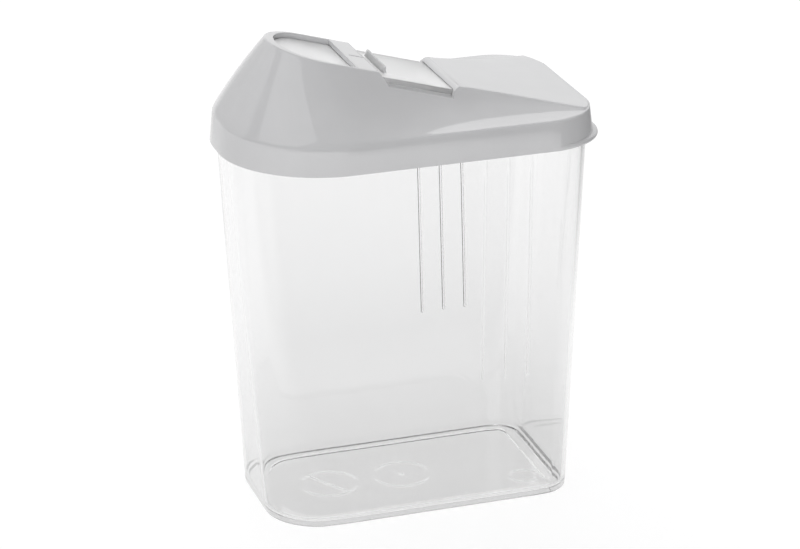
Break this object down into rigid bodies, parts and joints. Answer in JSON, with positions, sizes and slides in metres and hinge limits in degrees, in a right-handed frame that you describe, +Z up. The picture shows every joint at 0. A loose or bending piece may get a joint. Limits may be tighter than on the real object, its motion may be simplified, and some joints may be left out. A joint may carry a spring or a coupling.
{
  "type": "storage canister",
  "caption": "Clear tapered food canister with grip ribs and a light grey press-on lid, whose sloped spout has a clear sliding shutter for pouring.",
  "frame": {"origin": "centre of the container's flat underside, on the surface that it stands on", "axes": "+Z up, +X along the long side from the spout towards the pull lip, +Y towards the back, so the pictured front wall faces -Y"},
  "size_m": [0.1594, 0.0998, 0.2078],
  "materials": {
    "clear_body": "clear, polished mould",
    "grey_lid": "light grey, glossy",
    "clear_shutter": "clear, polished mould"
  },
  "bodies": {
    "container": {"container": "clear_body"},
    "lid": {"lid": "grey_lid"},
    "slider": {"slider": "clear_shutter"}
  },
  "joints": [
    {"name": "lid_lift", "type": "slide", "parent": "container", "child": "lid", "axis": [0, 0, 1], "range_m": [0, 0.05]},
    {"name": "shutter_slide", "type": "slide", "parent": "lid", "child": "slider", "axis": [0.9603, 0, -0.279], "range_m": [0, 0.026]}
  ]
}
